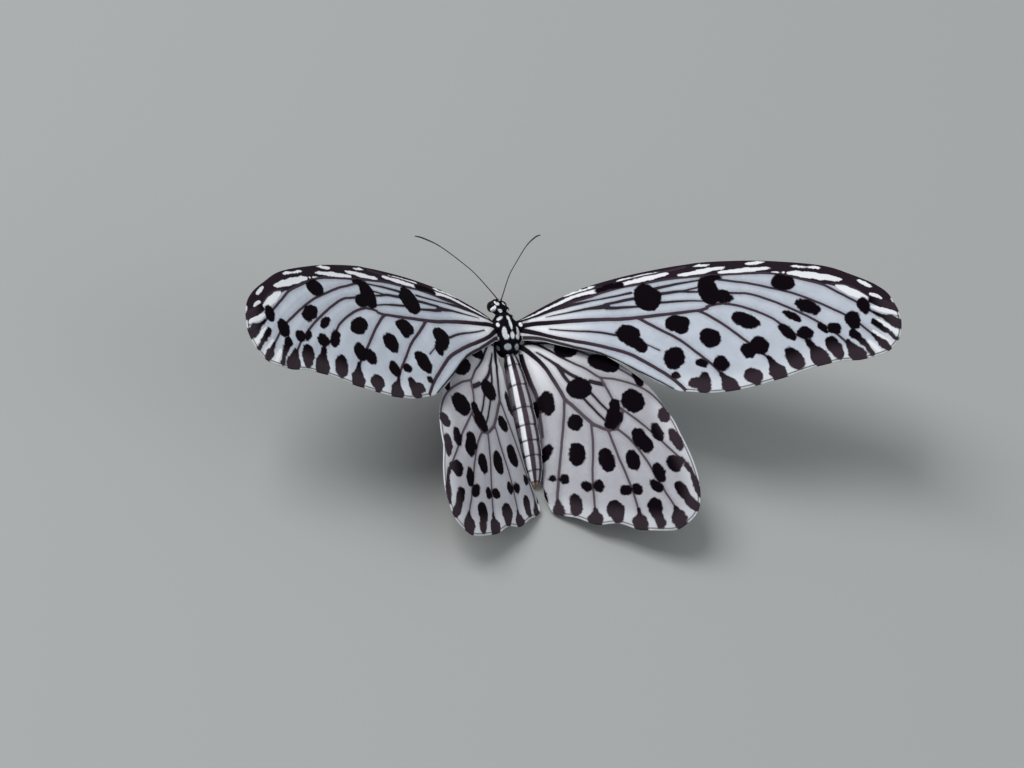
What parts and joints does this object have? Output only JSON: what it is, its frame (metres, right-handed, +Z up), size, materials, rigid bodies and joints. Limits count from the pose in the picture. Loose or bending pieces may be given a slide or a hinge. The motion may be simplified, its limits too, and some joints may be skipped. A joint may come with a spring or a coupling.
{
  "type": "butterfly",
  "caption": "Life-size common tree nymph butterfly, a still museum-type model standing on a flat surface with its white and black wings open.",
  "frame": {"origin": "on the floor, under the middle of the bounding box", "axes": "+Z up, the head points to -Y, +X is the animal's left and lies along the wingspan"},
  "size_m": [0.143, 0.0632, 0.0324],
  "materials": {
    "wing_scales": "thin translucent wing membrane with fine matt scales, grey-white with black markings",
    "black_cuticle": "black scaled hide with short hair and white spots",
    "abdomen_scales": "grey-white scales with dark stripes",
    "eye": "glossy dark brown compound eye",
    "leg_and_feeler": "dark brown cuticle, slightly glossy"
  },
  "bodies": {
    "root": {"abdomen": "abdomen_scales", "thorax": "black_cuticle", "collar": "black_cuticle", "head": "black_cuticle", "eye_left": "eye", "eye_right": "eye", "proboscis": "leg_and_feeler", "palp_left": "black_cuticle", "palp_right": "black_cuticle", "antenna_left": "leg_and_feeler", "antenna_right": "leg_and_feeler", "foreleg_left": "leg_and_feeler", "foreleg_right": "leg_and_feeler", "midleg_left": "leg_and_feeler", "midleg_right": "leg_and_feeler", "hindleg_left": "leg_and_feeler", "hindleg_right": "leg_and_feeler", "forewing_left": "wing_scales", "forewing_right": "wing_scales", "hindwing_left": "wing_scales", "hindwing_right": "wing_scales"}
  },
  "joints": []
}
